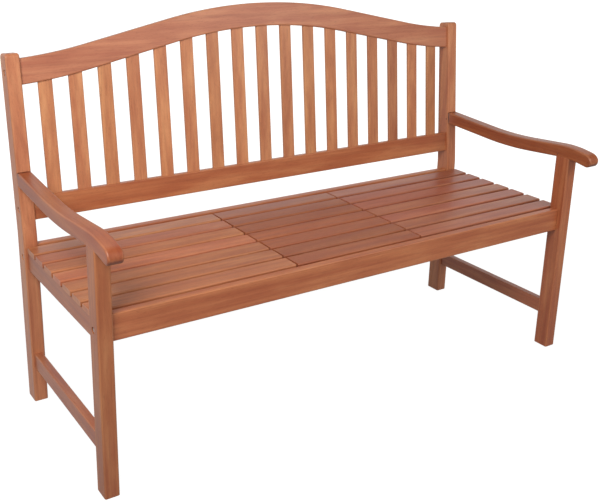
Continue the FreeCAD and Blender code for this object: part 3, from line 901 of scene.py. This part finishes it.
# %% [markdown]
# ## Floor
#
# The picture has a white ground. The floor is a pale disc that gets the bench's shadow. A very bright floor
# would look white too, but it would light the bench from below. So the floor is lifted to white only where
# the camera sees it, a little less near the bench, where the shadow falls. The wood's sheen shows part of
# that white, and more of it behind the bench than in front. The light that the floor throws on the bench
# stays plain.

# %% Floor
floor_radius = 14.0
floor_middle = 0.02             # radius of its innermost ring
floor_rings = 24
floor_spokes = 64
front_gloss = 0.2               # how much of the white the wood's sheen shows in front of the bench
back_gloss = 0.65               # and behind it
front_gloss_y = -0.3            # metres along Y where these two shares hold
back_gloss_y = 0.4
near_white = 0.82               # share of white within the near distance, and past the far one
far_white = 1.0
near_distance = 1.0             # metres from the middle of the floor
far_distance = 2.6
white_strength = 1.2            # a little over 1, so that the mix with the matt floor still shows white


def disc(radius, rings, spokes):
    """Flat disc: points at even angles on circles whose radii grow evenly from almost nothing."""
    reach = np.linspace(floor_middle, radius, rings)[:, None]
    angle = np.linspace(0, 2 * np.pi, spokes, endpoint=False)
    points = np.stack([reach * np.cos(angle), reach * np.sin(angle), np.zeros((rings, spokes))], -1)
    return points[::-1]


def pale_floor(name):
    """Pale matt floor, mixed with plain white for camera rays and, in part, for glossy rays."""
    material = bpy.data.materials.new(name)
    material.use_nodes = True
    tree = material.node_tree
    tree.nodes.remove(tree.nodes["Principled BSDF"])
    path = node(tree, "ShaderNodeLightPath").outputs
    place = node(tree, "ShaderNodeTexCoord").outputs["Object"]
    depth_part = node(tree, "ShaderNodeSeparateXYZ", {"Vector": place}).outputs["Y"]
    behind = node(tree, "ShaderNodeMapRange", {
        "Value": depth_part, "From Min": front_gloss_y, "From Max": back_gloss_y,
        "To Min": front_gloss, "To Max": back_gloss}).outputs["Result"]
    mirrored = node(tree, "ShaderNodeMath", {0: behind, 1: path["Is Glossy Ray"]},
                    operation="MULTIPLY").outputs[0]
    seen = node(tree, "ShaderNodeMath", {0: path["Is Camera Ray"], 1: mirrored},
                operation="MAXIMUM").outputs[0]
    away = node(tree, "ShaderNodeVectorMath", {0: place}, operation="LENGTH").outputs["Value"]
    white = node(tree, "ShaderNodeMapRange", {
        "Value": away, "From Min": near_distance, "From Max": far_distance,
        "To Min": near_white, "To Max": far_white}).outputs["Result"]
    lift = node(tree, "ShaderNodeMath", {0: white, 1: seen}, operation="MULTIPLY").outputs[0]
    matt = node(tree, "ShaderNodeBsdfDiffuse", {"Color": srgb("#B4B4B4")}).outputs[0]
    glow = node(tree, "ShaderNodeEmission", {"Color": srgb("#FFFFFF"), "Strength": white_strength}).outputs[0]
    both = node(tree, "ShaderNodeMixShader", {0: lift, 1: matt, 2: glow}).outputs[0]
    tree.links.new(both, tree.nodes["Material Output"].inputs["Surface"])
    return material


points = disc(floor_radius, floor_rings, floor_spokes)
faces = tube_faces(floor_rings, floor_spokes)
del faces[-2]                   # the face that would close the outer ring
floor_mesh = bpy.data.meshes.new("floor")
floor_mesh.from_pydata(points.reshape(-1, 3).tolist(), [], faces)
floor = bpy.data.objects.new("floor", floor_mesh)
floor_mesh.materials.append(pale_floor("pale_floor"))
bpy.context.scene.collection.objects.link(floor)
print("floor radius", floor_radius)

# %% [markdown]
# ## Studio light
#
# The picture has even studio light. The world is white paper that is brightest straight in front of the
# bench and behind it, and dark above and at its ends, so that the faces of a board differ. An even white
# world would flatten them. The camera sees plain white, and so does the wood's sheen towards the back. Two
# soft lamps in front add the soft shadows.

# %% World
plain_light = 0.78              # strength of the paper, straight in front and behind
gloss_full = 0.5                # how far towards the back a direction points where the sheen shows full white

world = bpy.data.worlds.new("studio")
bpy.context.scene.world = world
world.use_nodes = True
sky = world.node_tree
background = sky.nodes["Background"]
background.inputs["Color"].default_value = srgb("#FFFFFF")
toward = node(sky, "ShaderNodeTexCoord").outputs["Generated"]
depth_part = node(sky, "ShaderNodeSeparateXYZ", {"Vector": toward}).outputs["Y"]
facing = node(sky, "ShaderNodeMath", {0: depth_part}, operation="ABSOLUTE").outputs[0]
paper = node(sky, "ShaderNodeMath", {0: facing, 1: plain_light}, operation="MULTIPLY").outputs[0]
path = node(sky, "ShaderNodeLightPath").outputs
behind = node(sky, "ShaderNodeMapRange", {"Value": depth_part, "From Max": gloss_full,
                                          "To Max": path["Is Glossy Ray"]}).outputs["Result"]
seen = node(sky, "ShaderNodeMath", {0: path["Is Camera Ray"], 1: behind}, operation="MAXIMUM").outputs[0]
level = node(sky, "ShaderNodeMath", {0: paper, 1: seen}, operation="MAXIMUM").outputs[0]
sky.links.new(level, background.inputs["Strength"])
bpy.context.scene.view_settings.view_transform = "Standard"
print("world", world.name, "strength", plain_light)

# %% Lamps
slats_middle = (0, 0.1, 0.8)
lamp_size = 0.9


def soft_lamp(name, place, power):
    """Square soft box that looks from its place to the middle of the back slats."""
    lamp = bpy.data.objects.new(name, bpy.data.lights.new(name, "AREA"))
    lamp.data.size = lamp_size
    lamp.data.energy = power
    bpy.context.scene.collection.objects.link(lamp)
    toward = np.array(slats_middle) - np.array(place)
    level = np.hypot(toward[0], toward[1])
    lamp.location = place
    lamp.visible_camera = False
    lamp.rotation_euler = (np.arctan2(level, -toward[2]), 0, np.arctan2(-toward[0], toward[1]))


soft_lamp("key", (-1.6, -1.0, 1.85), 32)
soft_lamp("fill", (0.9, -1.4, 1.5), 9)
